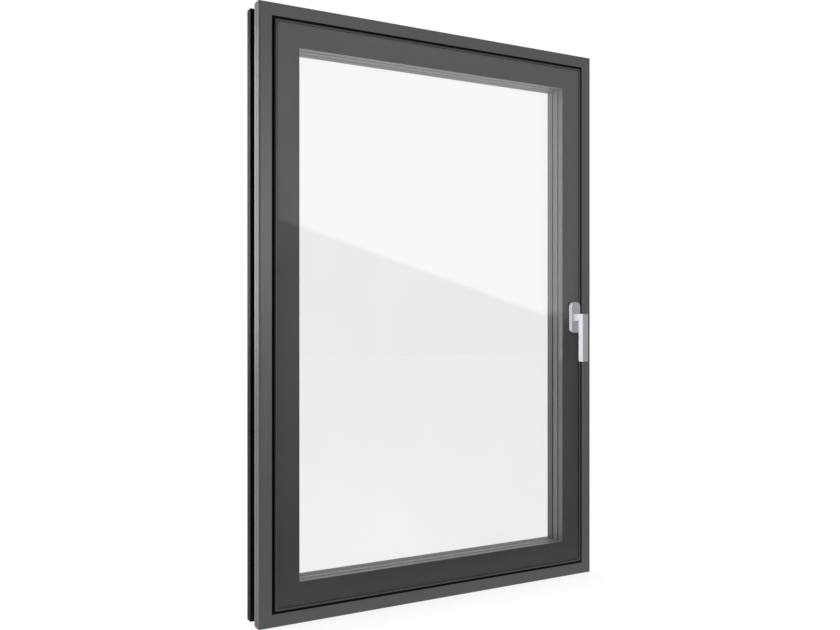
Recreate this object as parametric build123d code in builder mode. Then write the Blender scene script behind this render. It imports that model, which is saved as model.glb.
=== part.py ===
from build123d import *
import os

# An inward-opening aluminium window, seen from the room with its lever handle on the right.
# +X runs to the right seen from the room, +Y out of the building and +Z up.
# The frame and the sash are mitred profiles: a room shell, an insulating core and an outer shell.
# Every section is drawn with "inward" from the frame's outer edge and "depth" from the pane's room face.

# Overall window, in millimetres
WIDTH = 1000
HEIGHT = 1500
DEPTH = 96

# The pane and the sash stand proud of the frame's face by this much
FRAME_FACE = 4

# The origin lies on the underside of the frame's room shell, this far behind the pane's room face
ORIGIN_DEPTH = 24

# Walls of the profiles and of their insulating cores
SHELL_WALL = 2
CORE_WALL = 2.5

# Dovetail feet of the cores' strips, which the shells are rolled onto
FOOT_WIDTH = 5
FOOT_DEPTH = 2.5

# Frame profile
FACE_WIDTH = 32
SHELL_BACK = 39
ARRIS_RADIUS = 4.3
EDGE_RADIUS = 0.5
SHADOW_LINE_DEPTH = 1.5
SHADOW_LINE_WIDTH = 1.8
SHADOW_LINE_FROM_FACE = 20.5
CORE_SETBACK = 11
CORE_INNER = 28
CORE_WEB_FROM_FACE = 48.5
OUTER_SHELL_FROM_FACE = 72
OUTER_SHELL_WIDTH = 36
STOP_FROM_FACE = 86
STOP_BACK = 89
STOP_INNER = 60

# Sash profile
SASH_OUTER = 38
RIM_RADIUS = 4.5
RIM_INNER = 43.5
BED_FROM_FACE = 7.5
SASH_BED_INNER = 84
SASH_SHELL_BACK = 37
SASH_CORE_OUTER = 52
SASH_CORE_INNER = 80
SASH_OUTSIDE_FROM_FACE = 58
SASH_OUTSIDE_OUTER = 48
SASH_BACK = 85
LIP_FROM_FACE = 60
LIP_INNER = 100
LIP_CHAMFER = 2.5

# Groove along the sash's edge that takes the locking gear
FITTING_GROOVE_FROM_FACE = 19
FITTING_GROOVE_MOUTH = 12
FITTING_GROOVE_WIDTH = 16
FITTING_GROOVE_DEPTH = 11

# Stepped triple glazing
INNER_PANE_EDGE = 44.5
SMALL_PANE_EDGE = 86
GLASS = 6
INNER_CAVITY = 20
OUTER_CAVITY = 20
ENAMEL_THICKNESS = 0.3
SIGHT_LINE = 101.7
SPACER_INNER = 101
SPACER_OUTER = 93
JOINT_SEALANT_FROM_FACE = 1.2
GLASS_ARRIS = 0.8

# Depths at which the enamel ends and the smaller panes start
ENAMEL_BACK = GLASS + ENAMEL_THICKNESS
MIDDLE_PANE_FROM_FACE = GLASS + INNER_CAVITY
MIDDLE_PANE_BACK = MIDDLE_PANE_FROM_FACE + GLASS
OUTER_PANE_FROM_FACE = MIDDLE_PANE_BACK + OUTER_CAVITY
GLASS_BACK = OUTER_PANE_FROM_FACE + GLASS

# Seals in the shadow gap: a lipped one on the frame and a plain one along the sash's edge
GAP_SEAL_FROM_FACE = 4.6
GAP_SEAL_THICKNESS = 1.2
GAP_SEAL_BACK = 17
GAP_LIP_FROM_FACE = 8.5
GAP_LIP_TIP_FROM_FACE = 10
GAP_LIP_BACK = 12
EDGE_SEAL_FROM_FACE = 4.6
EDGE_SEAL_BACK = 12.5

# Main seal between the two cores
CENTRE_SEAL_FROM_FACE = 39.5
CENTRE_SEAL_BACK = 49
CENTRE_SEAL_FOOT = 4
CENTRE_SEAL_WALL = 1.5
CENTRE_TIP_FROM_FACE = 42.5
CENTRE_TIP_BACK = 45

# Flat seals against the stop and between the outer pane and its lip
STOP_SEAL_OUTER = 50
STOP_SEAL_INNER = 58
GLAZING_SEAL_OUTER = 91
GLAZING_SEAL_INNER = 99

# Frame screws through the jamb cores
SCREW_HOLE_RADIUS = 4.1
SCREW_DEPTH = 56
SCREW_HEIGHTS = (150, 550, 950, 1350)

# Drain slots in the outside of the sill
DRAIN_LENGTH = 30
DRAIN_HEIGHT = 5
DRAIN_FROM_EDGE = 12
DRAIN_OFFSET = 300

# Lever handle, hanging down when the window is locked
HANDLE_FROM_EDGE = 65
HANDLE_HEIGHT = 743
ROSETTE_WIDTH = 32
ROSETTE_LENGTH = 88
ROSETTE_THICKNESS = 11.5
ROSETTE_CORNER = 13
ROSETTE_EDGE_RADIUS = 1.5
NECK_SIDE = 19.5
LEVER_THICKNESS = 19
LEVER_LENGTH = 134.5
LEVER_FRONT = 54
LEVER_GAP = 0.5
LEVER_EDGE_RADIUS = 1.2
STUB_RADIUS = 8
STUB_BORE_RADIUS = 8.25
STUB_LENGTH = 9
SPINDLE_SIDE = 7
SPINDLE_BORE_RADIUS = 5.4
SPINDLE_REACH = 30
SASH_BORE_RADIUS = 6.4
CUTOUT_WIDTH = 26
CUTOUT_LENGTH = 66
CUTOUT_CLEARANCE = 1

SIDES = {
    "head": ((0, HEIGHT), (0, -1), WIDTH),
    "sill": ((0, 0), (0, 1), WIDTH),
    "jamb_left": ((-WIDTH / 2, HEIGHT / 2), (1, 0), HEIGHT),
    "jamb_right": ((WIDTH / 2, HEIGHT / 2), (-1, 0), HEIGHT),
}
SASH_SIDES = {"head": "top", "sill": "bottom", "jamb_left": "left", "jamb_right": "right"}

HANDLE_X = WIDTH / 2 - HANDLE_FROM_EDGE


def at_depth(depth):
    """World Y of a depth measured from the room face."""
    return depth - ORIGIN_DEPTH


def section_plane(side):
    """Plane across one side's bar: local x runs inward and local y out of the building."""
    (x, z), (inward_x, inward_z), _ = SIDES[side]
    return Plane(
        origin=(x, at_depth(0), z),
        x_dir=(inward_x, 0, inward_z),
        z_dir=(-inward_z, 0, inward_x),
    )


def window_plane(depth):
    """Plane parallel to the glass that faces out of the building at a depth."""
    return Plane(origin=(0, at_depth(depth), HEIGHT / 2), x_dir=(1, 0, 0), z_dir=(0, 1, 0))


def room_plane(distance):
    """Plane on the handle's axis that faces the room, a distance in front of the glass."""
    origin = (HANDLE_X, at_depth(-distance), HANDLE_HEIGHT)
    return Plane(origin=origin, x_dir=(1, 0, 0), z_dir=(0, -1, 0))


def mitred_bar(side, section):
    """One straight bar with its ends cut at 45 degrees."""
    plane = section_plane(side)
    half_length = SIDES[side][2] / 2
    start = plane.origin - plane.z_dir * half_length
    end = plane.origin + plane.z_dir * half_length
    with BuildPart() as bar:
        extrude(to_extrude=section, amount=half_length, both=True)
        split(bisect_by=Plane(origin=start, z_dir=plane.x_dir - plane.z_dir), keep=Keep.BOTTOM)
        split(bisect_by=Plane(origin=end, z_dir=plane.x_dir + plane.z_dir), keep=Keep.BOTTOM)
    return bar.part


def mitred_ring(draw_section):
    """Four mitred bars of one section joined into a closed ring."""
    bars = [mitred_bar(side, draw_section(side)) for side in SIDES]
    with BuildPart() as ring:
        add(bars)
    return ring.part


def flat_ring(outer, inner, depth, thickness):
    """Rectangular ring between two distances from the frame's outer edge."""
    with BuildPart() as ring:
        with BuildSketch(window_plane(depth)):
            Rectangle(WIDTH - 2 * outer, HEIGHT - 2 * outer)
            Rectangle(WIDTH - 2 * inner, HEIGHT - 2 * inner, mode=Mode.SUBTRACT)
        extrude(amount=thickness)
    return ring.part


def pane(edge, depth, thickness):
    """One sheet of glass with the room side of its edge ground back."""
    with BuildPart() as sheet:
        with BuildSketch(window_plane(depth)):
            Rectangle(WIDTH - 2 * edge, HEIGHT - 2 * edge)
        extrude(amount=thickness)
        chamfer(sheet.faces().sort_by(Axis.Y)[0].edges(), GLASS_ARRIS)
    return sheet.part


def outline(*points):
    """Closed outline from its corners, as (inward, depth) pairs."""
    with BuildSketch() as shape:
        with BuildLine():
            Polyline(*points, close=True)
        make_face()
    return shape.sketch


def corner_at(shape, inward, depth):
    """The corner of a section that lies nearest to a place in it."""
    return shape.vertices().sort_by_distance((inward, depth, 0))[0]


def chamber(inward_from, inward_to, depth_from, depth_to):
    """Hollow in a section, between two distances inward and two depths."""
    with Locations(((inward_from + inward_to) / 2, (depth_from + depth_to) / 2)):
        Rectangle(inward_to - inward_from, depth_to - depth_from, mode=Mode.SUBTRACT)


def strips_of(outer, inner):
    """Middles of the two strips that close a core's sides."""
    return (outer + CORE_WALL / 2, inner - CORE_WALL / 2)


def dovetail(inward, depth, direction):
    """Foot of a strip, wider at its end, that reaches into a shell from the joint."""
    end = depth + direction * FOOT_DEPTH
    return outline(
        (inward - CORE_WALL / 2, depth),
        (inward + CORE_WALL / 2, depth),
        (inward + FOOT_WIDTH / 2, end),
        (inward - FOOT_WIDTH / 2, end),
    )


def socket(inward, depth, direction):
    """Thickened wall of a shell with the groove that holds a strip's foot."""
    thickness = FOOT_DEPTH + SHELL_WALL
    with Locations((inward, depth + direction * thickness / 2)):
        Rectangle(FOOT_WIDTH + 2 * SHELL_WALL, thickness)
    add(dovetail(inward, depth, direction), mode=Mode.SUBTRACT)


def frame_inner_section(side):
    """Room shell: a hollow box with a rounded outer arris and a shadow line along its side."""
    front = FRAME_FACE
    back = SHELL_BACK
    with BuildSketch() as shape:
        add(outline((0, front), (FACE_WIDTH, front), (FACE_WIDTH, back), (0, back)))
        fillet(corner_at(shape, 0, front), ARRIS_RADIUS)
        fillet(corner_at(shape, FACE_WIDTH, front), EDGE_RADIUS)
        chamber(2 * SHELL_WALL, FACE_WIDTH - SHELL_WALL, front + SHELL_WALL, back - SHELL_WALL)
        chamber(0, SHADOW_LINE_DEPTH, SHADOW_LINE_FROM_FACE, SHADOW_LINE_FROM_FACE + SHADOW_LINE_WIDTH)
        for strip in strips_of(CORE_SETBACK, CORE_INNER):
            socket(strip, back, -1)
    return section_plane(side) * shape.sketch


def frame_core_section(side):
    """Insulating core with two chambers, set back to leave an open channel round the frame."""
    front = SHELL_BACK
    back = OUTER_SHELL_FROM_FACE
    inner = CORE_INNER - CORE_WALL
    outer = CORE_SETBACK + CORE_WALL
    with BuildSketch() as shape:
        add(outline((CORE_SETBACK, front), (CORE_INNER, front), (CORE_INNER, back), (CORE_SETBACK, back)))
        chamber(outer, inner, front + CORE_WALL, CORE_WEB_FROM_FACE)
        chamber(outer, inner, CORE_WEB_FROM_FACE + CORE_WALL, back - CORE_WALL)
        for strip in strips_of(CORE_SETBACK, CORE_INNER):
            add(dovetail(strip, front, -1))
            add(dovetail(strip, back, 1))
    return section_plane(side) * shape.sketch


def frame_outer_section(side):
    """Outer shell, full width to the wall, with a thin stop that laps over the sash."""
    front = OUTER_SHELL_FROM_FACE
    with BuildSketch() as shape:
        add(
            outline(
                (0, front),
                (OUTER_SHELL_WIDTH, front),
                (OUTER_SHELL_WIDTH, STOP_FROM_FACE),
                (STOP_INNER, STOP_FROM_FACE),
                (STOP_INNER, STOP_BACK),
                (OUTER_SHELL_WIDTH, STOP_BACK),
                (OUTER_SHELL_WIDTH, DEPTH),
                (0, DEPTH),
            )
        )
        fillet(corner_at(shape, STOP_INNER, STOP_BACK), EDGE_RADIUS)
        fillet(corner_at(shape, OUTER_SHELL_WIDTH, DEPTH), EDGE_RADIUS)
        fillet(corner_at(shape, 0, DEPTH), EDGE_RADIUS)
        chamber(SHELL_WALL, OUTER_SHELL_WIDTH - SHELL_WALL, front + SHELL_WALL, DEPTH - SHELL_WALL)
        for strip in strips_of(CORE_SETBACK, CORE_INNER):
            socket(strip, front, 1)
    return section_plane(side) * shape.sketch


def sash_inner_section(side):
    """Room shell of the sash: a rim round the pane, a bed for it and a groove for the lock."""
    groove_floor = SASH_OUTER + SHELL_WALL + FITTING_GROOVE_DEPTH
    groove_front = FITTING_GROOVE_FROM_FACE - FITTING_GROOVE_WIDTH / 2
    groove_back = FITTING_GROOVE_FROM_FACE + FITTING_GROOVE_WIDTH / 2
    mouth_front = FITTING_GROOVE_FROM_FACE - FITTING_GROOVE_MOUTH / 2
    mouth_back = FITTING_GROOVE_FROM_FACE + FITTING_GROOVE_MOUTH / 2
    back = SASH_SHELL_BACK - SHELL_WALL
    with BuildSketch() as shape:
        add(
            outline(
                (SASH_OUTER, 0),
                (RIM_INNER, 0),
                (RIM_INNER, BED_FROM_FACE),
                (SASH_BED_INNER, BED_FROM_FACE),
                (SASH_BED_INNER, SASH_SHELL_BACK),
                (SASH_OUTER, SASH_SHELL_BACK),
            )
        )
        fillet(corner_at(shape, SASH_OUTER, 0), RIM_RADIUS)
        fillet(corner_at(shape, RIM_INNER, 0), EDGE_RADIUS)
        chamber(SASH_OUTER, SASH_OUTER + SHELL_WALL, mouth_front, mouth_back)
        chamber(SASH_OUTER + SHELL_WALL, groove_floor, groove_front, groove_back)
        chamber(SASH_OUTER + SHELL_WALL, groove_floor, groove_back + SHELL_WALL, back)
        chamber(groove_floor + SHELL_WALL, SASH_BED_INNER - SHELL_WALL, BED_FROM_FACE + SHELL_WALL, back)
        for strip in strips_of(SASH_CORE_OUTER, SASH_CORE_INNER):
            socket(strip, SASH_SHELL_BACK, -1)
    return section_plane(side) * shape.sketch


def sash_core_section(side):
    """Insulating core of the sash, with one chamber."""
    front = SASH_SHELL_BACK
    back = SASH_OUTSIDE_FROM_FACE
    inner = SASH_CORE_INNER - CORE_WALL
    outer = SASH_CORE_OUTER + CORE_WALL
    corners = (
        (SASH_CORE_OUTER, front),
        (SASH_CORE_INNER, front),
        (SASH_CORE_INNER, back),
        (SASH_CORE_OUTER, back),
    )
    with BuildSketch() as shape:
        add(outline(*corners))
        chamber(outer, inner, front + CORE_WALL, back - CORE_WALL)
        for strip in strips_of(SASH_CORE_OUTER, SASH_CORE_INNER):
            add(dovetail(strip, front, -1))
            add(dovetail(strip, back, 1))
    return section_plane(side) * shape.sketch


def sash_outer_section(side):
    """Outer shell of the sash, with the hollow lip that holds the outer pane's edge."""
    front = SASH_OUTSIDE_FROM_FACE
    back = SASH_BACK - SHELL_WALL
    middle = (SASH_CORE_INNER + SASH_BED_INNER) / 2
    with BuildSketch() as shape:
        add(
            outline(
                (SASH_OUTSIDE_OUTER, front),
                (SASH_BED_INNER, front),
                (SASH_BED_INNER, LIP_FROM_FACE),
                (LIP_INNER, LIP_FROM_FACE),
                (LIP_INNER, SASH_BACK),
                (SASH_OUTSIDE_OUTER, SASH_BACK),
            )
        )
        chamfer(corner_at(shape, LIP_INNER, SASH_BACK), LIP_CHAMFER)
        chamber(SASH_OUTSIDE_OUTER + SHELL_WALL, middle - SHELL_WALL, front + SHELL_WALL, back)
        chamber(middle, LIP_INNER - SHELL_WALL, LIP_FROM_FACE + SHELL_WALL, back)
        for strip in strips_of(SASH_CORE_OUTER, SASH_CORE_INNER):
            socket(strip, front, 1)
    return section_plane(side) * shape.sketch


def rebate_gasket_section(side):
    """Seal lining the frame's side of the shadow gap, with a lip that leans on the sash's seal."""
    face = FACE_WIDTH + GAP_SEAL_THICKNESS
    tip = SASH_OUTER - GAP_SEAL_THICKNESS
    with BuildSketch() as shape:
        add(
            outline(
                (FACE_WIDTH, GAP_SEAL_FROM_FACE),
                (face, GAP_SEAL_FROM_FACE),
                (face, GAP_LIP_FROM_FACE),
                (tip, GAP_LIP_TIP_FROM_FACE),
                (tip, GAP_LIP_BACK),
                (face, GAP_LIP_BACK),
                (face, GAP_SEAL_BACK),
                (FACE_WIDTH, GAP_SEAL_BACK),
            )
        )
    return section_plane(side) * shape.sketch


def centre_gasket_section(side):
    """Hollow main seal on the frame's core, with a long lip against the sash's core."""
    foot = CORE_INNER + CENTRE_SEAL_FOOT
    with BuildSketch() as shape:
        add(
            outline(
                (CORE_INNER, CENTRE_SEAL_FROM_FACE),
                (foot, CENTRE_SEAL_FROM_FACE),
                (SASH_CORE_OUTER, CENTRE_TIP_FROM_FACE),
                (SASH_CORE_OUTER, CENTRE_TIP_BACK),
                (foot, CENTRE_SEAL_BACK),
                (CORE_INNER, CENTRE_SEAL_BACK),
            )
        )
        offset(amount=-CENTRE_SEAL_WALL, mode=Mode.SUBTRACT)
    return section_plane(side) * shape.sketch


def frame_pieces():
    """Four room shells, four cores and four outer shells."""
    sections = {"inner": frame_inner_section, "core": frame_core_section, "outer": frame_outer_section}
    for shell, draw_section in sections.items():
        for side in SIDES:
            yield f"frame_{shell}_{side}", mitred_bar(side, draw_section(side))


def sash_pieces():
    """Four room shells, four cores and four outer shells."""
    sections = {"inner": sash_inner_section, "core": sash_core_section, "outer": sash_outer_section}
    for shell, draw_section in sections.items():
        for side, name in SASH_SIDES.items():
            yield f"sash_{shell}_{name}", mitred_bar(side, draw_section(side))


parts = dict(frame_pieces()) | dict(sash_pieces())

# Screw holes through the jamb cores, reached from the rebate
for side in ("jamb_left", "jamb_right"):
    inward = SIDES[side][1][0]
    wall_x = SIDES[side][0][0]
    holes = [
        Plane(origin=(wall_x + inward * CORE_SETBACK, at_depth(SCREW_DEPTH), z), z_dir=(inward, 0, 0))
        for z in SCREW_HEIGHTS
    ]
    with BuildPart() as jamb:
        add(parts[f"frame_core_{side}"])
        with BuildSketch(*holes):
            Circle(SCREW_HOLE_RADIUS)
        extrude(amount=CORE_INNER - CORE_SETBACK, mode=Mode.SUBTRACT)
    parts[f"frame_core_{side}"] = jamb.part

# Drain slots through the outside wall of the sill
drain_y = HEIGHT / 2 - DRAIN_FROM_EDGE
with BuildPart() as sill:
    add(parts["frame_outer_sill"])
    with BuildSketch(window_plane(DEPTH - SHELL_WALL)):
        with Locations((-DRAIN_OFFSET, drain_y), (DRAIN_OFFSET, drain_y)):
            SlotOverall(DRAIN_LENGTH, DRAIN_HEIGHT)
    extrude(amount=SHELL_WALL, mode=Mode.SUBTRACT)
parts["frame_outer_sill"] = sill.part

# Hole for the handle's spindle in the sash
with BuildPart() as lock_side:
    add(parts["sash_inner_right"])
    with BuildSketch(room_plane(-BED_FROM_FACE)):
        Circle(SASH_BORE_RADIUS)
    extrude(amount=-SHELL_WALL, mode=Mode.SUBTRACT)
parts["sash_inner_right"] = lock_side.part

# Seals
parts["rebate_gasket"] = mitred_ring(rebate_gasket_section)
parts["centre_gasket"] = mitred_ring(centre_gasket_section)
edge_seal_outer = SASH_OUTER - GAP_SEAL_THICKNESS
edge_seal_length = EDGE_SEAL_BACK - EDGE_SEAL_FROM_FACE
parts["sash_edge_seal"] = flat_ring(edge_seal_outer, SASH_OUTER, EDGE_SEAL_FROM_FACE, edge_seal_length)
parts["stop_gasket"] = flat_ring(STOP_SEAL_OUTER, STOP_SEAL_INNER, SASH_BACK, STOP_FROM_FACE - SASH_BACK)
parts["glazing_gasket"] = flat_ring(
    GLAZING_SEAL_OUTER, GLAZING_SEAL_INNER, GLASS_BACK, LIP_FROM_FACE - GLASS_BACK
)

# Glazing unit: the inner pane is larger and laps over the sash
parts["inner_pane"] = pane(INNER_PANE_EDGE, 0, GLASS)
parts["middle_pane"] = pane(SMALL_PANE_EDGE, MIDDLE_PANE_FROM_FACE, GLASS)
parts["outer_pane"] = pane(SMALL_PANE_EDGE, OUTER_PANE_FROM_FACE, GLASS)
parts["enamel_border"] = flat_ring(INNER_PANE_EDGE, SIGHT_LINE, GLASS, ENAMEL_THICKNESS)
with BuildPart() as glass_bond:
    add(flat_ring(RIM_INNER, SASH_CORE_INNER, ENAMEL_BACK, BED_FROM_FACE - ENAMEL_BACK))
    add(flat_ring(RIM_INNER, INNER_PANE_EDGE, JOINT_SEALANT_FROM_FACE, ENAMEL_BACK - JOINT_SEALANT_FROM_FACE))
parts["glass_bond"] = glass_bond.part
inner_gap = INNER_CAVITY - ENAMEL_THICKNESS
parts["inner_spacer"] = flat_ring(SPACER_OUTER, SPACER_INNER, ENAMEL_BACK, inner_gap)
parts["outer_spacer"] = flat_ring(SPACER_OUTER, SPACER_INNER, MIDDLE_PANE_BACK, OUTER_CAVITY)
parts["inner_edge_seal"] = flat_ring(SMALL_PANE_EDGE, SPACER_OUTER, ENAMEL_BACK, inner_gap)
parts["outer_edge_seal"] = flat_ring(SMALL_PANE_EDGE, SPACER_OUTER, MIDDLE_PANE_BACK, OUTER_CAVITY)

# Cut-out for the handle through the pane, its enamel and its bond, hidden by the rosette
for name in ("inner_pane", "enamel_border", "glass_bond"):
    with BuildPart() as pierced:
        add(parts[name])
        with BuildSketch(room_plane(0)):
            SlotOverall(CUTOUT_LENGTH, CUTOUT_WIDTH, rotation=90)
        extrude(amount=-BED_FROM_FACE, mode=Mode.SUBTRACT)
    parts[name] = pierced.part

# Rosette: a rounded plate on the glass, with a foot through the cut-out that seats on the sash
foot_length = CUTOUT_LENGTH - 2 * CUTOUT_CLEARANCE
foot_width = CUTOUT_WIDTH - 2 * CUTOUT_CLEARANCE
with BuildPart() as handle_rosette:
    with BuildSketch(room_plane(0)):
        RectangleRounded(ROSETTE_WIDTH, ROSETTE_LENGTH, ROSETTE_CORNER)
    extrude(amount=ROSETTE_THICKNESS)
    fillet(handle_rosette.faces().sort_by(Axis.Y)[0].edges(), ROSETTE_EDGE_RADIUS)
    with BuildSketch(room_plane(0)):
        SlotOverall(foot_length, foot_width, rotation=90)
    extrude(amount=-BED_FROM_FACE)
    with BuildSketch(room_plane(ROSETTE_THICKNESS - STUB_LENGTH)):
        Circle(STUB_BORE_RADIUS)
    extrude(amount=STUB_LENGTH, mode=Mode.SUBTRACT)
    with BuildSketch(room_plane(-BED_FROM_FACE)):
        Circle(SPINDLE_BORE_RADIUS)
    extrude(amount=BED_FROM_FACE + ROSETTE_THICKNESS, mode=Mode.SUBTRACT)
parts["handle_rosette"] = handle_rosette.part

# Lever: a square neck that turns in the rosette, and a bar that hangs from it
neck_base = ROSETTE_THICKNESS + LEVER_GAP
stub_base = ROSETTE_THICKNESS - STUB_LENGTH + LEVER_GAP
lever_drop = LEVER_LENGTH / 2 - NECK_SIDE / 2
with BuildPart() as handle_lever:
    with BuildSketch(room_plane(neck_base)):
        Rectangle(NECK_SIDE, NECK_SIDE)
    extrude(amount=LEVER_FRONT - neck_base)
    with BuildSketch(room_plane(LEVER_FRONT - LEVER_THICKNESS)):
        with Locations((0, -lever_drop)):
            Rectangle(NECK_SIDE, LEVER_LENGTH)
    extrude(amount=LEVER_THICKNESS)
    fillet(handle_lever.edges().filter_by(Axis.Z), LEVER_EDGE_RADIUS)
    with BuildSketch(room_plane(stub_base)):
        Circle(STUB_RADIUS)
    extrude(amount=neck_base - stub_base)
    with BuildSketch(room_plane(stub_base)):
        Rectangle(SPINDLE_SIDE, SPINDLE_SIDE)
    extrude(amount=SPINDLE_REACH - stub_base, mode=Mode.SUBTRACT)
parts["handle_lever"] = handle_lever.part

# Square spindle from the neck through the rosette into the sash
with BuildPart() as handle_spindle:
    with BuildSketch(room_plane(-SPINDLE_REACH)):
        Rectangle(SPINDLE_SIDE, SPINDLE_SIDE)
    extrude(amount=2 * SPINDLE_REACH)
parts["handle_spindle"] = handle_spindle.part

os.makedirs("parts", exist_ok=True)
for name, piece in parts.items():
    piece.label = name
    export_step(piece, f"parts/{name}.step")
    print(name, round(piece.volume / 1000, 1), "cm3")
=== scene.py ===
import math

import bmesh
import bpy
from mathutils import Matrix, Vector


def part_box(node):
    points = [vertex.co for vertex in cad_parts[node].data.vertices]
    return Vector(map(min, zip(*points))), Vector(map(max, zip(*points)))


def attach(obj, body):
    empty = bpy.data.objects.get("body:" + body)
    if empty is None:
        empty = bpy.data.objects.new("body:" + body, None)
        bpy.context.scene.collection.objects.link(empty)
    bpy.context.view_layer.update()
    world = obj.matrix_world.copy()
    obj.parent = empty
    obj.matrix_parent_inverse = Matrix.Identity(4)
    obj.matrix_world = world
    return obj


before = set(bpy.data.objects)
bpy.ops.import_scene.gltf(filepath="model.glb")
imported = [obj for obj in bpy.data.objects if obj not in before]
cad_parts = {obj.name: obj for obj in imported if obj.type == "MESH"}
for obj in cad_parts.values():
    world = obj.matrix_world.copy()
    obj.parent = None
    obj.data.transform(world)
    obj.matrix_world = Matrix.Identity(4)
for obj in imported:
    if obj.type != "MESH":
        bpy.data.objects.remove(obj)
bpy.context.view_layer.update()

# The window, in metres: +X to the right seen from the room, +Y out of the building, +Z up
MM = 0.001
HALF_WIDTH = 0.5
HALF_HEIGHT = 0.75
ROOM_FACE_Y = -0.024
OUTSIDE_FACE_Y = 0.072
# Insets from the frame's outer edge: the middle of the gap, and the sash's rounded rim beyond it
GAP_FROM, GAP_TO = 34.5 * MM, 35.5 * MM
RIM_FROM, RIM_TO = 38.5 * MM, 43.0 * MM

# Spans of a noise between which most of it lies
WIDE_SPAN = (0.3, 0.7)
CLOSE_SPAN = (0.35, 0.65)
# Rays by which a shader looks for the edges that it rounds
EDGE_SAMPLES = 4


def linear(hex_colour):
    """Linear colour of an sRGB hex value."""
    channels = [int(hex_colour[i:i + 2], 16) / 255 for i in (1, 3, 5)]
    return tuple(c / 12.92 if c <= 0.04045 else ((c + 0.055) / 1.055) ** 2.4 for c in channels) + (1.0,)


def grey(level):
    """Linear grey of a given level."""
    return (level, level, level, 1.0)


def add_node(tree, kind, settings=None, **links):
    """A node with its settings, and inputs set to values or linked from sockets.

    An input goes by its name, with _ for each space, or by _ and its number.
    """
    node = tree.nodes.new(kind)
    for name, value in (settings or {}).items():
        setattr(node, name, value)
    for name, value in links.items():
        socket = node.inputs[int(name[1:])] if name[0] == "_" else node.inputs[name.replace("_", " ")]
        if isinstance(value, bpy.types.NodeSocket):
            tree.links.new(value, socket)
        else:
            socket.default_value = value
    return node


def new_finish(name, **values):
    """A material with its shader's own values set, and the object's coordinates to pattern it by."""
    finish = bpy.data.materials.new(name)
    finish.use_nodes = True
    tree = finish.node_tree
    shader = tree.nodes["Principled BSDF"]
    for socket, value in values.items():
        shader.inputs[socket.replace("_", " ")].default_value = value
    place = add_node(tree, "ShaderNodeTexCoord").outputs["Object"]
    return finish, tree, shader, place


def maths(tree, operation, first, second=0.0):
    """Output of one arithmetic node."""
    return add_node(tree, "ShaderNodeMath", {"operation": operation}, _0=first, _1=second).outputs[0]


def add(tree, first, second):
    """Sum of two values."""
    return maths(tree, "ADD", first, second)


def subtract(tree, first, second):
    """First value less the second."""
    return maths(tree, "SUBTRACT", first, second)


def multiply(tree, first, second):
    """Product of two values."""
    return maths(tree, "MULTIPLY", first, second)


def greater_of(tree, first, second):
    """The greater of two values."""
    return maths(tree, "MAXIMUM", first, second)


def weigh(tree, first, second, share):
    """Sum of two values, the first by its share and the second by the rest."""
    return add(tree, multiply(tree, first, share), multiply(tree, second, 1.0 - share))


def fade(tree, value, start, end, at_start=0.0, at_end=1.0):
    """A value mapped from one span to another, clamped."""
    node = add_node(tree, "ShaderNodeMapRange", None, _0=value, _1=start, _2=end, _3=at_start, _4=at_end)
    return node.outputs[0]


def split_axes(tree, vector):
    """Outputs X, Y and Z of a vector."""
    return add_node(tree, "ShaderNodeSeparateXYZ", None, Vector=vector).outputs


def blend_colours(tree, amount, first, second):
    """Output of one colour mix."""
    node = add_node(tree, "ShaderNodeMix", {"data_type": "RGBA"}, _0=amount, _6=first, _7=second)
    return node.outputs[2]


def shade_between(tree, noise, span, dark, light):
    """Colour that runs from a dark to a light hex value over a span of the noise."""
    return blend_colours(tree, fade(tree, noise, *span), linear(dark), linear(light))


def insets(tree, axes):
    """Distances in from the window's side, and from its top or bottom."""
    from_side = subtract(tree, HALF_WIDTH, maths(tree, "ABSOLUTE", axes["X"]))
    above_middle = subtract(tree, axes["Z"], HALF_HEIGHT)
    from_end = subtract(tree, HALF_HEIGHT, maths(tree, "ABSOLUTE", above_middle))
    return from_side, from_end


def along_bar(tree, place):
    """Coordinates that follow every bar of the window: inward, depth and length."""
    axes = split_axes(tree, place)
    from_side, from_end = insets(tree, axes)
    upright = maths(tree, "LESS_THAN", from_side, from_end)
    inward = maths(tree, "MINIMUM", from_side, from_end)
    level = subtract(tree, 1.0, upright)
    length = add(tree, multiply(tree, axes["Z"], upright), multiply(tree, axes["X"], level))
    return inward, axes["Y"], length


def mitre_line(tree, place, half_width):
    """1 on the hairline where two bars meet at a corner, 0 beside it."""
    from_side, from_end = insets(tree, split_axes(tree, place))
    distance = maths(tree, "ABSOLUTE", subtract(tree, from_side, from_end))
    return fade(tree, distance, half_width, 2 * half_width, 1.0, 0.0)


def drawn_along_bar(tree, bar, across):
    """Coordinates of a bar, closer set across it, for streaks that run along it."""
    inward, depth, length = bar
    return add_node(
        tree, "ShaderNodeCombineXYZ", None,
        X=multiply(tree, inward, across), Y=multiply(tree, depth, across), Z=length,
    ).outputs[0]


def stretched(tree, vector, across, along):
    """Coordinates drawn out along Z, for a grain that runs up the piece."""
    return add_node(
        tree, "ShaderNodeMapping", None, Vector=vector, Scale=(across, across, along)
    ).outputs["Vector"]


def grain(tree, vector, scale, detail=2.0, roughness=0.5):
    """Noise of a given scale, centred on 0.5."""
    return add_node(
        tree, "ShaderNodeTexNoise", None, Vector=vector, Scale=scale, Detail=detail, Roughness=roughness
    ).outputs["Fac"]


def link_colour(tree, shader, colour):
    """Links the base colour."""
    tree.links.new(colour, shader.inputs["Base Color"])


def link_roughness(tree, shader, noise, smooth, rough):
    """Links a roughness that follows the noise."""
    tree.links.new(fade(tree, noise, *WIDE_SPAN, smooth, rough), shader.inputs["Roughness"])


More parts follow.
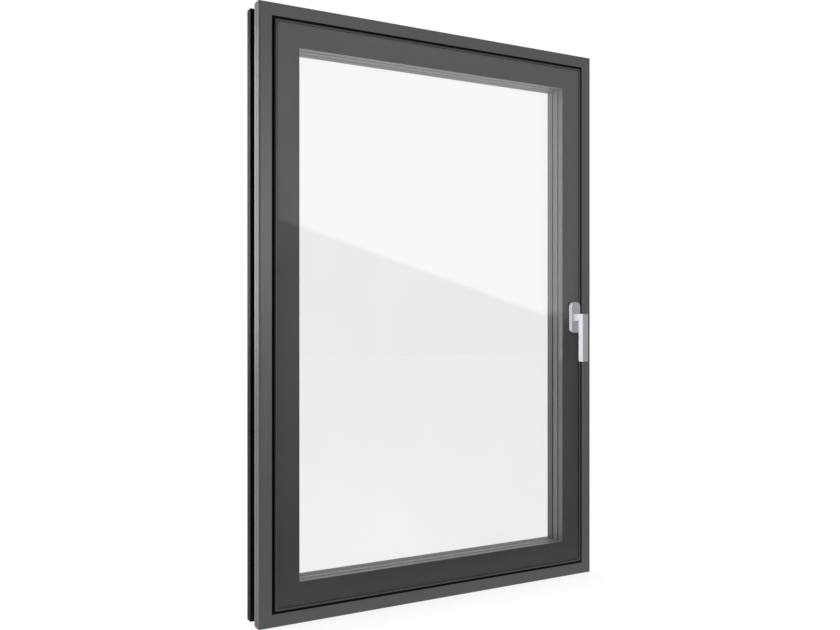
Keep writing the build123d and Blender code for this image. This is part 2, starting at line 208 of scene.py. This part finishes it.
def raise_surface(tree, shader, height, distance, strength, edge_radius=0.0):
    """Bump from a height, over edges that are slightly rounded."""
    links = {"Height": height, "Distance": distance, "Strength": strength}
    if edge_radius:
        edges = add_node(tree, "ShaderNodeBevel", {"samples": EDGE_SAMPLES}, Radius=edge_radius)
        links["Normal"] = edges.outputs["Normal"]
    bump = add_node(tree, "ShaderNodeBump", None, **links)
    tree.links.new(bump.outputs["Normal"], shader.inputs["Normal"])


def powder_coat(name, dark, light, shine):
    """Fine matt powder coat baked on aluminium: an orange-peel skin with a soft broad sheen."""
    finish, tree, shader, place = new_finish(name, IOR=1.5, Specular_IOR_Level=shine)
    # Real peel is under 1 mm across, and is drawn at 1.5 mm so that it shows
    peel = grain(tree, place, scale=650.0, detail=3.0, roughness=0.6)
    cloud = grain(tree, place, scale=9.0)
    coat = shade_between(tree, weigh(tree, peel, cloud, share=0.6), CLOSE_SPAN, dark, light)
    seam = mitre_line(tree, place, half_width=0.1 * MM)
    seam_depth, seam_stain, gap_shade_strength = 2.0, 0.75, 0.9
    coat = blend_colours(tree, multiply(tree, seam, seam_stain), coat, linear("#0B0B0C"))
    # Painted shade: on the rounded rim beside the gap the coat is darkened towards black, standing in for the
    # shade that falls into the gap
    inward = along_bar(tree, place)[0]
    gap_shade = multiply(tree, fade(tree, inward, RIM_FROM, RIM_TO, 1.0, 0.0), fade(tree, inward, GAP_FROM, GAP_TO))
    coat = blend_colours(tree, multiply(tree, gap_shade, gap_shade_strength), coat, linear("#0E0E0F"))
    link_colour(tree, shader, coat)
    link_roughness(tree, shader, peel, smooth=0.38, rough=0.48)
    height = subtract(tree, peel, multiply(tree, seam, seam_depth))
    raise_surface(tree, shader, height, distance=0.05 * MM, strength=0.5, edge_radius=0.5 * MM)
    return finish


def polyamide():
    """Glass-filled polyamide, extruded, so faint streaks run along each bar."""
    finish, tree, shader, place = new_finish("glass_filled_polyamide", IOR=1.53)
    streaks = grain(tree, drawn_along_bar(tree, along_bar(tree, place), across=40.0), scale=22.0, detail=3.0)
    specks = grain(tree, place, scale=1400.0, detail=1.0)
    tone = weigh(tree, streaks, specks, share=0.7)
    link_colour(tree, shader, shade_between(tree, tone, CLOSE_SPAN, "#161618", "#232426"))
    link_roughness(tree, shader, specks, smooth=0.5, rough=0.65)
    raise_surface(tree, shader, tone, distance=0.08 * MM, strength=0.6, edge_radius=0.3 * MM)
    return finish


def seal_rubber():
    """Extruded black rubber: matt, with a chalky bloom along its length."""
    finish, tree, shader, place = new_finish("extruded_seal_rubber", IOR=1.5, Specular_IOR_Level=0.12)
    bloom_span = (0.45, 0.75)
    bloom = grain(tree, drawn_along_bar(tree, along_bar(tree, place), across=30.0), scale=12.0, detail=3.0)
    link_colour(tree, shader, shade_between(tree, bloom, bloom_span, "#0A0A0B", "#18181A"))
    link_roughness(tree, shader, bloom, smooth=0.62, rough=0.78)
    raise_surface(tree, shader, grain(tree, place, scale=900.0), distance=0.05 * MM, strength=0.4)
    return finish


def silicone():
    """Tooled black silicone: a smooth skin with slight waves."""
    finish, tree, shader, place = new_finish("tooled_silicone", IOR=1.41, Specular_IOR_Level=0.2)
    waves = grain(tree, place, scale=60.0)
    link_colour(tree, shader, shade_between(tree, waves, CLOSE_SPAN, "#0D0D0E", "#171719"))
    link_roughness(tree, shader, waves, smooth=0.34, rough=0.46)
    raise_surface(tree, shader, waves, distance=0.3 * MM, strength=0.5)
    return finish


def float_glass(name, ior):
    """Float glass: flat and polished, with a faint wiped haze and a trace of roller wave."""
    finish, tree, shader, place = new_finish(name, IOR=ior, Transmission_Weight=1.0, Roughness=0.0)
    clear, hazy = "#FDFDFD", "#FCFCFC"
    wipe = grain(tree, stretched(tree, place, across=3.0, along=1.2), scale=2.5, detail=3.0)
    link_colour(tree, shader, shade_between(tree, wipe, WIDE_SPAN, clear, hazy))
    # Roller wave of toughened glass: about 300 mm from crest to crest and far under 0.1 mm high
    roller_wave = grain(tree, place, scale=3.3, detail=0.0)
    raise_surface(tree, shader, roller_wave, distance=0.02 * MM, strength=0.3)
    # Light that falls on other pieces goes straight through
    rays = add_node(tree, "ShaderNodeLightPath").outputs
    lighting = greater_of(tree, rays["Is Shadow Ray"], rays["Is Diffuse Ray"])
    open_way = add_node(tree, "ShaderNodeBsdfTransparent", None, Color=linear(clear))
    both = add_node(
        tree, "ShaderNodeMixShader", None, _0=lighting, _1=shader.outputs["BSDF"], _2=open_way.outputs["BSDF"]
    )
    tree.links.new(both.outputs["Shader"], tree.nodes["Material Output"].inputs["Surface"])
    return finish


def fired_enamel():
    """Ceramic enamel fired on the glass: an even grey print with fine pinholes."""
    finish, tree, shader, place = new_finish("fired_ceramic_enamel", IOR=1.5)
    print_tone = grain(tree, place, scale=7.0)
    pores = add_node(tree, "ShaderNodeTexVoronoi", None, Vector=place, Scale=900.0).outputs["Distance"]
    print_colour = shade_between(tree, print_tone, WIDE_SPAN, "#3F4144", "#434548")
    pinholes = fade(tree, pores, start=0.06, end=0.12, at_start=0.5, at_end=0.0)
    link_colour(tree, shader, blend_colours(tree, pinholes, print_colour, linear("#242628")))
    link_roughness(tree, shader, print_tone, smooth=0.5, rough=0.6)
    raise_surface(tree, shader, pores, distance=0.02 * MM, strength=0.4)
    return finish


# Breather holes of the spacers: two rows on the bar in each of the two cavities
SPACER_MIDDLES = (-8.0 * MM, 18.0 * MM)
HOLE_ROWS = (-3.0 * MM, 3.0 * MM)
HOLE_PITCH = 3.5 * MM
HOLE_FLOOR, HOLE_RIM = 0.35 * MM, 0.5 * MM
# Added to every length, so that it stays above 0 for the modulo
LENGTH_SHIFT = 2.0


def breather_holes(tree, depth, length):
    """1 in the holes along the spacers, 0 between them."""
    shifted = add(tree, length, LENGTH_SHIFT)
    step = subtract(tree, maths(tree, "MODULO", shifted, HOLE_PITCH), HOLE_PITCH / 2)
    holes = 0.0
    for middle in SPACER_MIDDLES:
        for row in HOLE_ROWS:
            aside = subtract(tree, depth, middle + row)
            squares = add(tree, multiply(tree, step, step), multiply(tree, aside, aside))
            away = maths(tree, "SQRT", squares)
            holes = greater_of(tree, fade(tree, away, HOLE_FLOOR, HOLE_RIM, 1.0, 0.0), holes)
    return holes


def spacer_composite():
    """Satin grey spacer bar with two rows of breather holes to the drying beads inside."""
    finish, tree, shader, place = new_finish("satin_spacer_bar", IOR=1.5)
    bar = along_bar(tree, place)
    holes = breather_holes(tree, bar[1], bar[2])
    streaks = grain(tree, drawn_along_bar(tree, bar, across=30.0), scale=25.0, detail=3.0)
    skin = shade_between(tree, streaks, WIDE_SPAN, "#707173", "#797A7C")
    skin = blend_colours(tree, mitre_line(tree, place, half_width=0.15 * MM), skin, linear("#3A3B3D"))
    link_colour(tree, shader, blend_colours(tree, holes, skin, linear("#1C1C1D")))
    link_roughness(tree, shader, streaks, smooth=0.35, rough=0.48)
    raise_surface(tree, shader, subtract(tree, streaks, holes), distance=0.1 * MM, strength=0.5)
    return finish


def silver_anodised():
    """Bead-blasted and silver-anodised aluminium: satin, with a fine even tooth and faint drawn lines."""
    finish, tree, shader, place = new_finish("silver_anodised_aluminium", Metallic=0.6)
    tooth = grain(tree, place, scale=1800.0, roughness=0.6)
    lines = grain(tree, stretched(tree, place, across=60.0, along=1.0), scale=40.0)
    tone = weigh(tree, tooth, lines, share=0.5)
    link_colour(tree, shader, shade_between(tree, tone, CLOSE_SPAN, "#A8A9AE", "#B4B5BA"))
    link_roughness(tree, shader, tone, smooth=0.30, rough=0.38)
    raise_surface(tree, shader, tone, distance=0.02 * MM, strength=0.4, edge_radius=0.4 * MM)
    return finish


def zinc_steel():
    """Zinc-plated steel: bright, slightly yellow and clouded."""
    finish, tree, shader, place = new_finish("zinc_plated_steel", Metallic=1.0)
    cloud = grain(tree, place, scale=220.0, detail=3.0)
    link_colour(tree, shader, shade_between(tree, cloud, WIDE_SPAN, "#B9B6AC", "#CFCDC6"))
    link_roughness(tree, shader, cloud, smooth=0.3, rough=0.45)
    raise_surface(tree, shader, cloud, distance=0.03 * MM, strength=0.4)
    return finish


def black_polypropylene():
    """Moulded black plastic with a spark-eroded texture, as on drain covers."""
    finish, tree, shader, place = new_finish("moulded_black_plastic", IOR=1.49)
    texture = grain(tree, place, scale=1100.0)
    link_colour(tree, shader, shade_between(tree, texture, CLOSE_SPAN, "#141415", "#1E1E20"))
    link_roughness(tree, shader, texture, smooth=0.42, rough=0.55)
    raise_surface(tree, shader, texture, distance=0.05 * MM, strength=0.5)
    return finish


# Finishes of the CAD nodes, by the start of their names
room_coat = powder_coat("anthracite_powder_coat", "#5A5B5D", "#5E5F61", shine=0.36)
outside_coat = powder_coat("black_powder_coat", "#1B1B1D", "#212123", shine=0.03)
glass_front = float_glass("toughened_float_glass", ior=1.52)
# The two panes behind mirror less than the front one, which a lower index stands for
glass_coated = float_glass("coated_insulating_glass", ior=1.27)
rubber = seal_rubber()
bond = silicone()
enamel = fired_enamel()
spacer = spacer_composite()
core = polyamide()
silver = silver_anodised()
steel = zinc_steel()
plastic = black_polypropylene()

FINISHES = {
    "frame_inner": room_coat,
    "frame_core": core,
    "frame_outer": outside_coat,
    "sash_inner": room_coat,
    "sash_core": core,
    "sash_outer": room_coat,
    "sash_edge_seal": rubber,
    "rebate_gasket": rubber,
    "centre_gasket": rubber,
    "stop_gasket": rubber,
    "glazing_gasket": rubber,
    "inner_pane": glass_front,
    "middle_pane": glass_coated,
    "outer_pane": glass_coated,
    "enamel_border": enamel,
    "glass_bond": bond,
    "inner_edge_seal": bond,
    "outer_edge_seal": bond,
    "inner_spacer": spacer,
    "outer_spacer": spacer,
    "handle_rosette": silver,
    "handle_lever": silver,
    "handle_spindle": steel,
}

for node_name, node_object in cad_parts.items():
    finish = next(f for start, f in FINISHES.items() if node_name.startswith(start))
    node_object.data.materials.clear()
    node_object.data.materials.append(finish)


def place_mesh(name, shape, finish):
    """Turns a bmesh into a named object in a finish."""
    mesh = bpy.data.meshes.new(name)
    shape.to_mesh(mesh)
    shape.free()
    piece = bpy.data.objects.new(name, mesh)
    bpy.context.collection.objects.link(piece)
    mesh.materials.append(finish)
    return piece


def finish_piece(name, shape, finish, body):
    """Makes a bmesh into a small piece that rides on a body."""
    bmesh.ops.recalc_face_normals(shape, faces=shape.faces)
    piece = place_mesh(name, shape, finish)
    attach(piece, body)


def soften(shape, edges, radius, segments):
    """Rounds the given edges."""
    bmesh.ops.bevel(
        shape, geom=edges, offset=radius, offset_type="OFFSET", affect="EDGES",
        segments=segments, profile=0.5, material=-1,
    )


def block(centre, size):
    """A box given by its centre and its size."""
    shape = bmesh.new()
    bmesh.ops.create_cube(shape, size=1.0)
    bmesh.ops.scale(shape, verts=shape.verts, vec=size)
    bmesh.ops.translate(shape, verts=shape.verts, vec=centre)
    return shape


def face_towards(shape, direction):
    """The face whose normal lies nearest to a direction."""
    shape.normal_update()
    return max(shape.faces, key=lambda face: face.normal.dot(Vector(direction)))


def edges_along_y(shape, length):
    """Edges that reach further than a length along Y."""
    return [e for e in shape.edges if abs((e.verts[0].co - e.verts[1].co).y) > length]


# Seal under the rosette: it shows as a thin black line all round
SEAL_WIDTH = 0.8 * MM
SEAL_HEIGHT = 0.9 * MM
SEAL_ROUND = 0.3 * MM
ROSETTE_CORNER = 13.0 * MM


def rosette_seal():
    """Black ring that seals the rosette to the glass."""
    low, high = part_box("handle_rosette")
    centre = ((low[0] + high[0]) / 2, 0.0, (low[2] + high[2]) / 2)
    shape = block(centre, (high[0] - low[0] + 2 * SEAL_WIDTH, SEAL_HEIGHT, high[2] - low[2] + 2 * SEAL_WIDTH))
    bmesh.ops.translate(shape, verts=shape.verts, vec=(0.0, ROOM_FACE_Y - SEAL_HEIGHT / 2, 0.0))
    soften(shape, edges_along_y(shape, SEAL_HEIGHT / 2), ROSETTE_CORNER + SEAL_WIDTH, segments=10)
    front = face_towards(shape, (0, -1, 0))
    back = face_towards(shape, (0, 1, 0))
    bmesh.ops.inset_region(shape, faces=[front, back], thickness=SEAL_WIDTH, use_even_offset=True)
    bmesh.ops.bridge_loops(shape, edges=list(front.edges) + list(back.edges))
    bmesh.ops.delete(shape, geom=[front, back], context="FACES_ONLY")
    # The rim lies between a face that looks along Y and one that looks sideways
    facing, sideways = 0.9, 0.1
    rim = [
        e for e in shape.edges
        if len(e.link_faces) == 2
        and abs(e.link_faces[0].normal.y) > facing
        and abs(e.link_faces[1].normal.y) < sideways
    ]
    soften(shape, rim, SEAL_ROUND, segments=2)
    finish_piece("rosette_seal", shape, rubber, "window")


# Grub screw that clamps the lever on its spindle
GRUB_RADIUS = 2.4 * MM
GRUB_SOCKET = 1.35 * MM
GRUB_DEPTH = 1.6 * MM
GRUB_LENGTH = 1.9 * MM
GRUB_PROUD = 0.15 * MM
GRUB_FROM_ROSETTE = 9.0 * MM
GRUB_SEGMENTS = 24
HEXAGON_STEP = math.radians(60)


def lever_grub_screw():
    """Grub screw with a hexagon socket, a hair proud of the underside of the lever's neck."""
    rosette_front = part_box("handle_rosette")[0][1]
    lever_low, lever_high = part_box("handle_lever")
    neck_underside = lever_high[2] - (lever_high[0] - lever_low[0])
    shape = bmesh.new()
    bmesh.ops.create_cone(
        shape, cap_ends=True, segments=GRUB_SEGMENTS, radius1=GRUB_RADIUS, radius2=GRUB_RADIUS, depth=GRUB_LENGTH
    )
    socket = face_towards(shape, (0, 0, -1))
    bmesh.ops.inset_region(shape, faces=[socket], thickness=GRUB_RADIUS - GRUB_SOCKET, use_even_offset=True)
    # The corners of the inset face move onto the socket's hexagon
    for vert in socket.verts:
        from_corner = math.atan2(vert.co.y, vert.co.x) % HEXAGON_STEP
        reach = GRUB_SOCKET * math.cos(HEXAGON_STEP / 2) / math.cos(from_corner - HEXAGON_STEP / 2)
        vert.co.xy = vert.co.xy.normalized() * reach
    socket_floor = bmesh.ops.extrude_discrete_faces(shape, faces=[socket])["faces"][0]
    bmesh.ops.translate(shape, verts=socket_floor.verts, vec=(0, 0, GRUB_DEPTH))
    place = (
        (lever_low[0] + lever_high[0]) / 2,
        rosette_front - GRUB_FROM_ROSETTE,
        neck_underside + GRUB_LENGTH / 2 - GRUB_PROUD,
    )
    bmesh.ops.translate(shape, verts=shape.verts, vec=place)
    finish_piece("lever_grub_screw", shape, steel, "handle")


# Hooded covers over the two drain slots in the sill
COVER_SIZE = (42.0 * MM, 2.6 * MM, 12.0 * MM)
COVER_HEIGHT = 12.5 * MM
COVER_WALL = 0.7 * MM
COVER_MOUTH = 2.5 * MM
COVER_ROUND = 0.9 * MM
DRAIN_OFFSET = 0.3


def drain_cover(name, across):
    """Hooded cover over a drain slot, hollowed along its lower edge."""
    shape = block((across, OUTSIDE_FACE_Y + COVER_SIZE[1] / 2, COVER_HEIGHT), COVER_SIZE)
    mouth = face_towards(shape, (0, 0, -1))
    bmesh.ops.inset_region(shape, faces=[mouth], thickness=COVER_WALL, use_even_offset=True)
    bmesh.ops.translate(shape, verts=mouth.verts, vec=(0, 0, COVER_MOUTH))
    front = face_towards(shape, (0, 1, 0))
    upper_part = COVER_HEIGHT + COVER_SIZE[2] / 3
    shoulders = [
        e for e in edges_along_y(shape, COVER_SIZE[1] / 2)
        if max(v.co.z for v in e.verts) > upper_part
    ]
    soften(shape, list(front.edges) + shoulders, COVER_ROUND, segments=3)
    finish_piece(name, shape, plastic, "window")


rosette_seal()
lever_grub_screw()
drain_cover("drain_cover_left", -DRAIN_OFFSET)
drain_cover("drain_cover_right", DRAIN_OFFSET)


# Stage: a pale floor, and a white surround that the glass and the metal reflect
FLOOR_SIZE = 24.0
FLOOR_LEVEL = -0.0005
FLOOR_GLOW = 0.84
FLOOR_GREYS = (0.27, 0.29)
# The floor changes from the room's side to the outside between these depths
FLOOR_TURN = (-0.3, 0.3)
# Below eye level the room in front of the window is dim, and its edge runs away to the right
ROOM_BRIGHT = 1.0
ROOM_DIM = 0.17
ROOM_EDGE_NORMAL = (0.277, 0.204, 0.939)
ROOM_EDGE_SPAN = (-0.002, 0.004)
# Surfaces gather more light from the room's right than from its left
ROOM_LEFT = 0.06
ROOM_RIGHT = 0.45
LEFT_TO_RIGHT = (0.0, 0.50)
ROOM_TO_OUTSIDE = (-0.05, 0.05)
# A ray's count of mirror bounces passes this from the first bounce on
BEFORE_FIRST_BOUNCE = 0.5


def mirrored_ray(tree):
    """1 for a ray that the glass has mirrored sharply."""
    rays = add_node(tree, "ShaderNodeLightPath").outputs
    bounced = maths(tree, "GREATER_THAN", rays["Glossy Depth"], BEFORE_FIRST_BOUNCE)
    return multiply(tree, bounced, rays["Is Singular Ray"])


def gathered_ray(tree):
    """1 for a ray by which a matt or satin surface gathers its light."""
    rays = add_node(tree, "ShaderNodeLightPath").outputs
    satin = multiply(tree, rays["Is Glossy Ray"], subtract(tree, 1.0, rays["Is Singular Ray"]))
    return greater_of(tree, satin, rays["Is Diffuse Ray"])


def light_surround():
    """White all round to the camera. The room's side is dimmer to what is mirrored or lit by it."""
    world = bpy.data.worlds.new("white_surround")
    bpy.context.scene.world = world
    world.use_nodes = True
    tree = world.node_tree
    background = tree.nodes["Background"]
    heading = add_node(tree, "ShaderNodeTexCoord").outputs["Generated"]
    axes = split_axes(tree, heading)
    behind = fade(tree, axes["Y"], *ROOM_TO_OUTSIDE)
    tilt = add_node(
        tree, "ShaderNodeVectorMath", {"operation": "DOT_PRODUCT"}, _0=heading, _1=ROOM_EDGE_NORMAL
    ).outputs["Value"]
    above = maths(tree, "MINIMUM", tilt, axes["Z"])
    in_glass = greater_of(tree, fade(tree, above, *ROOM_EDGE_SPAN, ROOM_DIM, ROOM_BRIGHT), behind)
    on_surfaces = greater_of(tree, fade(tree, axes["X"], *LEFT_TO_RIGHT, ROOM_LEFT, ROOM_RIGHT), behind)
    mirrored = mirrored_ray(tree)
    gathered = gathered_ray(tree)
    straight = subtract(tree, 1.0, greater_of(tree, mirrored, gathered))
    by_bounce = add(tree, multiply(tree, mirrored, in_glass), multiply(tree, gathered, on_surfaces))
    tree.links.new(add(tree, straight, by_bounce), background.inputs["Strength"])
    background.inputs["Color"].default_value = grey(1.0)


def lay_floor():
    """Pale floor that shows white and keeps a faint shadow of the window."""
    paint, tree, shader, place = new_finish("pale_floor_paint", Roughness=0.9, Specular_IOR_Level=0.0)
    shader.inputs["Emission Color"].default_value = grey(1.0)
    room_side = fade(tree, split_axes(tree, place)["Y"], *FLOOR_TURN, 1.0, 0.0)
    in_glass = multiply(tree, mirrored_ray(tree), 1.0 - ROOM_DIM)
    on_surfaces = multiply(tree, gathered_ray(tree), 1.0 - ROOM_RIGHT)
    dimmed = multiply(tree, room_side, add(tree, in_glass, on_surfaces))
    scuffs = grain(tree, place, scale=3.0)
    shade = blend_colours(tree, scuffs, grey(FLOOR_GREYS[0]), grey(FLOOR_GREYS[1]))
    link_colour(tree, shader, blend_colours(tree, dimmed, shade, grey(0.0)))
    tree.links.new(fade(tree, dimmed, 0.0, 1.0, FLOOR_GLOW, 0.0), shader.inputs["Emission Strength"])
    shape = bmesh.new()
    bmesh.ops.create_grid(shape, x_segments=1, y_segments=1, size=FLOOR_SIZE / 2)
    bmesh.ops.translate(shape, verts=shape.verts, vec=(0, 0, FLOOR_LEVEL))
    place_mesh("pale_floor", shape, paint)


def add_lamp(name, place, target, size, power):
    """Soft area lamp, out of sight of the camera and of what shows through the glass."""
    lamp = bpy.data.lights.new(name, "AREA")
    lamp.shape = "RECTANGLE"
    lamp.size, lamp.size_y = size
    lamp.energy = power
    holder = bpy.data.objects.new(name, lamp)
    bpy.context.collection.objects.link(holder)
    holder.location = place
    holder.rotation_euler = (Vector(target) - Vector(place)).to_track_quat("-Z", "Y").to_euler()
    holder.visible_camera = False
    holder.visible_transmission = False
    return holder


def link_group(name, nodes, link_state):
    """Nodes that a lamp's light or shadow is for, or that it leaves out."""
    group = bpy.data.collections.new(name)
    for node in nodes:
        group.objects.link(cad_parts[node])
    for member in group.collection_objects:
        member.light_linking.link_state = link_state
    return group


light_surround()
lay_floor()
room_softbox = add_lamp(
    "room_softbox", place=(0.38, -3.02, 1.27), target=(0.0, 0.0, 0.9), size=(0.3, 0.5), power=33.0
)
outer_softbox = add_lamp(
    "outer_softbox", place=(-1.15, 2.0, 1.31), target=(-0.5, 0.0, 0.98), size=(0.4, 1.5), power=10.0
)
left_softbox = add_lamp(
    "left_softbox", place=(-3.4, 0.45, 0.95), target=(-0.5, 0.0, 0.85), size=(0.5, 1.2), power=14.0
)
handle_softbox = add_lamp(
    "handle_softbox", place=(-1.1, -0.22, 0.95), target=(0.43, -0.05, 0.72), size=(0.3, 0.3), power=72.0
)

# One lamp is for the handle alone, and the handle keeps no light of the room's lamp off the glass
HANDLE_METAL = ("handle_rosette", "handle_lever")
handle_softbox.visible_glossy = False
handle_softbox.light_linking.receiver_collection = link_group("handle_alone", HANDLE_METAL, "INCLUDE")
room_softbox.light_linking.blocker_collection = link_group("handle_unshaded", HANDLE_METAL, "EXCLUDE")
# No lamp is mirrored in the panes
panes_unlit = link_group("panes_unlit", ("inner_pane", "middle_pane", "outer_pane"), "EXCLUDE")
for softbox in (room_softbox, outer_softbox, left_softbox):
    softbox.light_linking.receiver_collection = panes_unlit

# Camera: at mid height, well to the left of the window, turned towards it
EYE = (-1.1519, -2.0291, 0.75)
HEADING = math.radians(28.41)
FOCAL_LENGTH = 37.48
SENSOR_WIDTH = 36.0

camera_lens = bpy.data.cameras.new("camera")
camera_lens.lens = FOCAL_LENGTH
camera_lens.sensor_width = SENSOR_WIDTH
camera = bpy.data.objects.new("camera", camera_lens)
camera.location = EYE
camera.rotation_euler = (math.pi / 2, 0.0, -HEADING)
bpy.context.collection.objects.link(camera)
bpy.context.scene.camera = camera
bpy.context.scene.view_settings.view_transform = "Standard"
